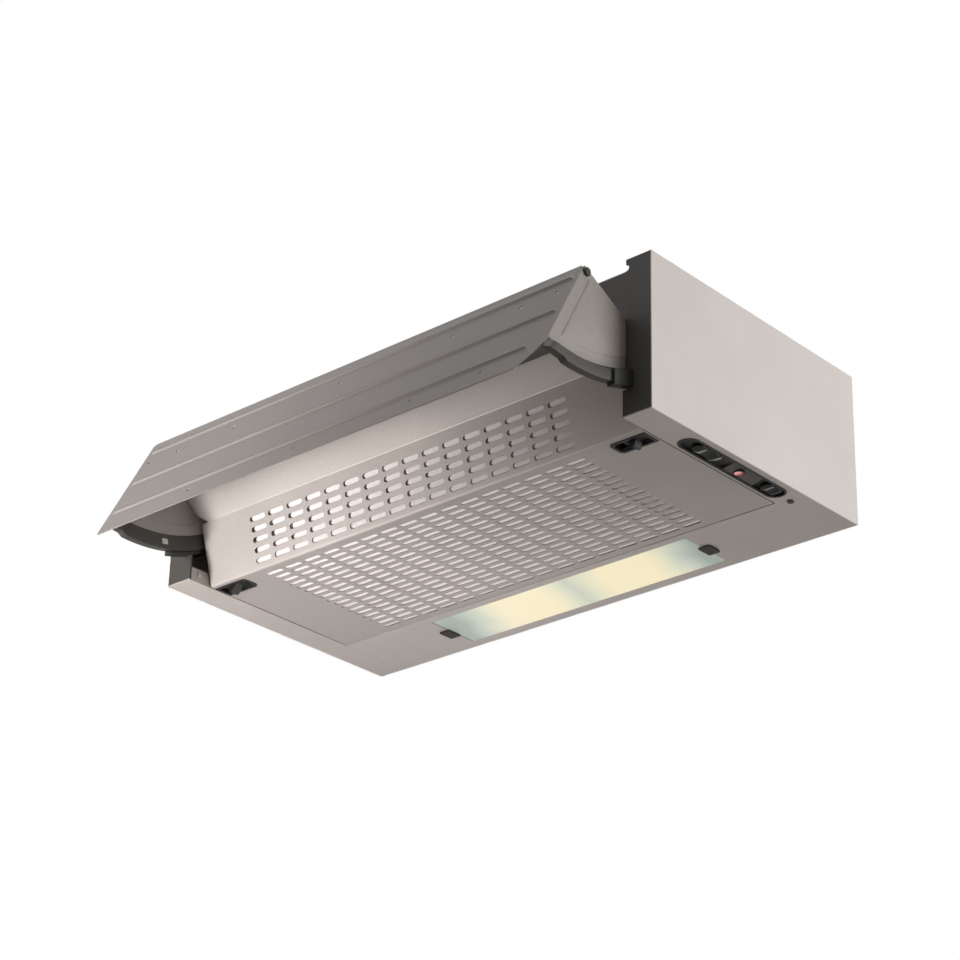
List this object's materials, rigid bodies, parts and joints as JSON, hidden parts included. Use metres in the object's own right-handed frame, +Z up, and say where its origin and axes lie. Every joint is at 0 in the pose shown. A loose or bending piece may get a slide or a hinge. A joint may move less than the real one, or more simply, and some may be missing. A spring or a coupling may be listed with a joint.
{
  "type": "pull out range hood",
  "caption": "Built-in range hood for a wall cabinet, with a visor that swings out, a hinged slotted grease grille, a lamp with frosted glass, slide controls and a duct collar on top.",
  "frame": {"origin": "centre of the four cabinet screw holes, on the top face of the casing", "axes": "+Z up, out of the top face; +X to the hood's right seen from the front; +Y to the wall behind"},
  "size_m": [0.598, 0.4158, 0.194],
  "materials": {
    "white_paint": "satin powder coat",
    "grey_paint": "satin silver-grey paint",
    "dark_paint": "matt dark paint",
    "zinc_steel": "zinc plated",
    "runner_plastic": "moulded",
    "black_plastic": "fine texture",
    "housing_plastic": "moulded",
    "lamp_glass": "frosted",
    "bulb_glass": "frosted",
    "fleece": "non-woven fleece",
    "reflector_metal": "bright rolled",
    "ceramic": "glazed",
    "bronze": "sintered",
    "red_lens": "translucent",
    "cable_rubber": "smooth",
    "switch_plastic": "moulded"
  },
  "bodies": {
    "casing": {"left_side_panel": "white_paint", "right_side_panel": "white_paint", "top_panel": "grey_paint", "rear_panel": "grey_paint", "front_cross_panel": "grey_paint", "left_bottom_rail": "grey_paint", "lamp_control_panel": "grey_paint", "left_front_post": "dark_paint", "right_front_post": "dark_paint", "runner_guides": "black_plastic", "rail_rivets": "zinc_steel", "outlet_collar": "housing_plastic", "collar_screws": "zinc_steel", "damper_rod": "zinc_steel", "scroll_left": "housing_plastic", "scroll_right": "housing_plastic", "inlet_guard": "black_plastic", "motor_body": "zinc_steel", "motor_bushes": "bronze", "motor_bracket": "zinc_steel", "junction_box": "housing_plastic", "junction_lid": "housing_plastic", "cable_gland": "black_plastic", "motor_capacitor": "switch_plastic", "wiring_loom": "cable_rubber", "control_bezel": "black_plastic", "indicator_lens": "red_lens", "switch_unit": "switch_plastic", "panel_screw": "zinc_steel", "lamp_reflector": "reflector_metal", "lampholders": "ceramic", "bulbs": "bulb_glass", "lamp_lens": "lamp_glass", "hinge_pins": "zinc_steel"},
    "visor": {"visor_panel": "grey_paint", "visor_stiffener": "grey_paint", "left_cheek": "grey_paint", "right_cheek": "grey_paint", "cheek_brackets": "zinc_steel", "left_runner": "runner_plastic", "right_runner": "runner_plastic", "runner_clips": "zinc_steel", "corner_buffers": "black_plastic"},
    "grille": {"grille_panel": "grey_paint", "bottom_filter": "fleece", "front_filter": "fleece", "filter_wires": "zinc_steel", "latch_cups": "black_plastic"},
    "left_latch": {"left_latch_slider": "black_plastic"},
    "right_latch": {"right_latch_slider": "black_plastic"},
    "fan_switch": {"fan_slider": "black_plastic"},
    "light_switch": {"light_slider": "black_plastic"},
    "left_clip": {"left_lens_clip": "black_plastic"},
    "right_clip": {"right_lens_clip": "black_plastic"},
    "fan": {"impeller": "housing_plastic", "motor_shaft": "zinc_steel"},
    "left_flap": {"left_damper": "housing_plastic"},
    "right_flap": {"right_damper": "housing_plastic"}
  },
  "joints": [
    {"name": "visor_swing", "type": "hinge", "parent": "casing", "child": "visor", "pos_m": [0, -0.22, 0.058], "axis": [1, 0, 0], "range_deg": [0, 27.5]},
    {"name": "grille_hinge", "type": "hinge", "parent": "casing", "child": "grille", "pos_m": [0, 0.062, -0.1494], "axis": [1, 0, 0], "range_deg": [0, 90]},
    {"name": "left_latch_slide", "type": "slide", "parent": "grille", "child": "left_latch", "axis": [1, 0, 0], "range_m": [-0.003, 0.006]},
    {"name": "right_latch_slide", "type": "slide", "parent": "grille", "child": "right_latch", "axis": [-1, 0, 0], "range_m": [-0.003, 0.006]},
    {"name": "fan_switch_slide", "type": "slide", "parent": "casing", "child": "fan_switch", "axis": [0, 1, 0], "range_m": [0, 0.015]},
    {"name": "light_switch_slide", "type": "slide", "parent": "casing", "child": "light_switch", "axis": [0, -1, 0], "range_m": [0, 0.006]},
    {"name": "left_clip_slide", "type": "slide", "parent": "casing", "child": "left_clip", "axis": [-1, 0, 0], "range_m": [0, 0.003]},
    {"name": "right_clip_slide", "type": "slide", "parent": "casing", "child": "right_clip", "axis": [1, 0, 0], "range_m": [0, 0.003]},
    {"name": "fan_spin", "type": "hinge", "parent": "casing", "child": "fan", "pos_m": [0, -0.01, -0.072], "axis": [1, 0, 0], "continuous": true},
    {"name": "left_flap_hinge", "type": "hinge", "parent": "casing", "child": "left_flap", "pos_m": [0, 0.03255, 0.01], "axis": [0, 1, 0], "range_deg": [0, 75]},
    {"name": "right_flap_hinge", "type": "hinge", "parent": "casing", "child": "right_flap", "pos_m": [0, 0.03255, 0.01], "axis": [0, -1, 0], "range_deg": [0, 75]}
  ]
}
